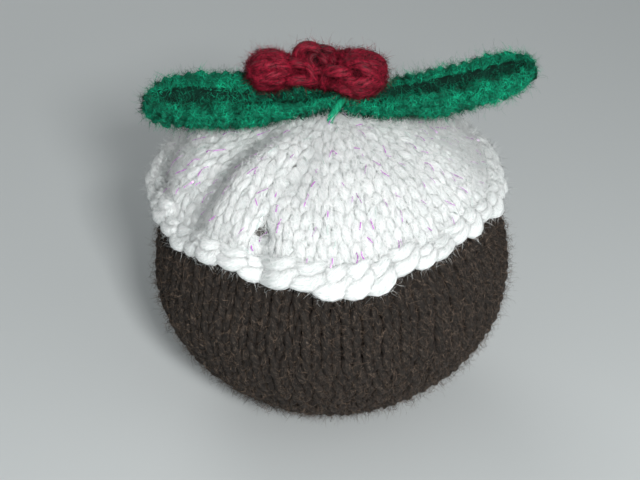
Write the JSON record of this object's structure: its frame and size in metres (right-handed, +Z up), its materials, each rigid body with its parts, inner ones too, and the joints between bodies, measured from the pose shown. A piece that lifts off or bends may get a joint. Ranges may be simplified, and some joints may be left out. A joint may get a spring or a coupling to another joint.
{
  "type": "knitted pudding ornament",
  "caption": "Hand-knitted christmas pudding: a stuffed brown ball under a white knitted icing cap, with two curled green leaves and a cluster of red yarn berries on top.",
  "frame": {"origin": "centre of the small flat spot that the pudding stands on", "axes": "+Z up through the crown of the cap, +X to the right along the leaves, -Y to the front, where the cap hangs lowest"},
  "size_m": [0.0847, 0.0811, 0.0854],
  "materials": {
    "brown_knit": "matt knitted yarn",
    "white_knit": "soft knitted yarn with fine tinsel flecks",
    "green_knit": "fuzzy knitted yarn",
    "red_yarn": "thick plied yarn with a soft sheen"
  },
  "bodies": {
    "root": {"pudding_body": "brown_knit", "icing_cap": "white_knit", "leaf_left": "green_knit", "leaf_right": "green_knit", "berry_left": "red_yarn", "berry_middle": "red_yarn", "berry_right": "red_yarn"}
  },
  "joints": []
}
